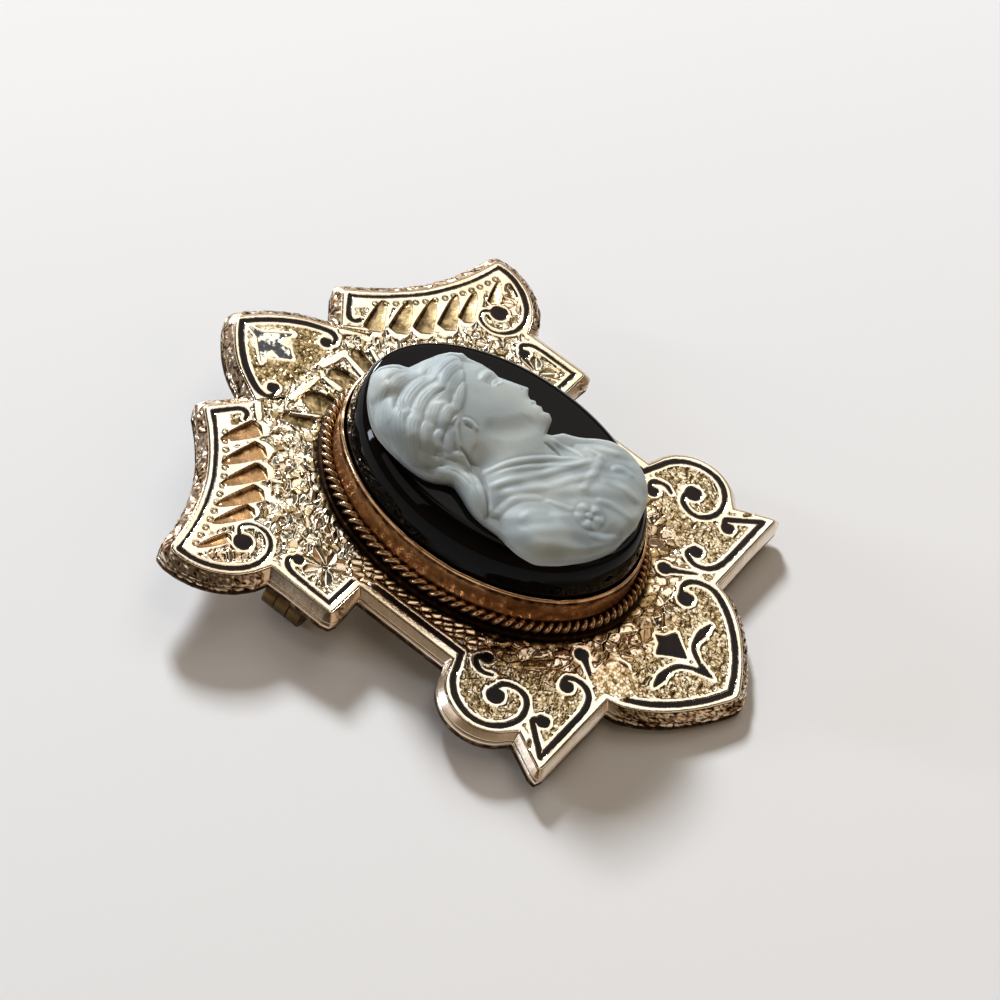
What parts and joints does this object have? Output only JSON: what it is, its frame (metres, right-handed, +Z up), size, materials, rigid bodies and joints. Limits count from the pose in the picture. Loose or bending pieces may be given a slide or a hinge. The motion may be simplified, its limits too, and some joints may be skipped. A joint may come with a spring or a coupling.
{
  "type": "cameo brooch",
  "caption": "Oval stone cameo of a draped bust in a tall metal collar, on a cut and flared metal brooch with inlaid black enamel lines, a pin and a hook catch.",
  "frame": {"origin": "middle of the bounding box in X and Y, on the surface that the brooch lies on", "axes": "+Z up from that surface, +X towards the catch (the right side seen from the front), +Y towards the brooch's upper point"},
  "size_m": [0.0362, 0.0416, 0.0117],
  "materials": {
    "gold": "worn gold-filled metal, polished on the raised edges and tool-chipped between them",
    "pin_wire": "drawn wire, dull",
    "onyx": "polished",
    "pale_layer": "carved, silky",
    "enamel": "glossy, a little worn"
  },
  "bodies": {
    "root": {"frame": "gold", "onyx": "onyx", "cameo_figure": "pale_layer", "pin": "pin_wire", "enamel_top_line": "enamel", "enamel_top_leaf": "enamel", "enamel_fan_left": "enamel", "enamel_fan_right": "enamel", "enamel_step_left": "enamel", "enamel_step_right": "enamel", "enamel_side_left": "enamel", "enamel_side_right": "enamel", "enamel_comma_left": "enamel", "enamel_comma_right": "enamel", "enamel_hook_left": "enamel", "enamel_hook_right": "enamel", "enamel_drop_left": "enamel", "enamel_drop_right": "enamel", "enamel_base_line": "enamel", "enamel_diamond": "enamel", "enamel_arms": "enamel"}
  },
  "joints": []
}
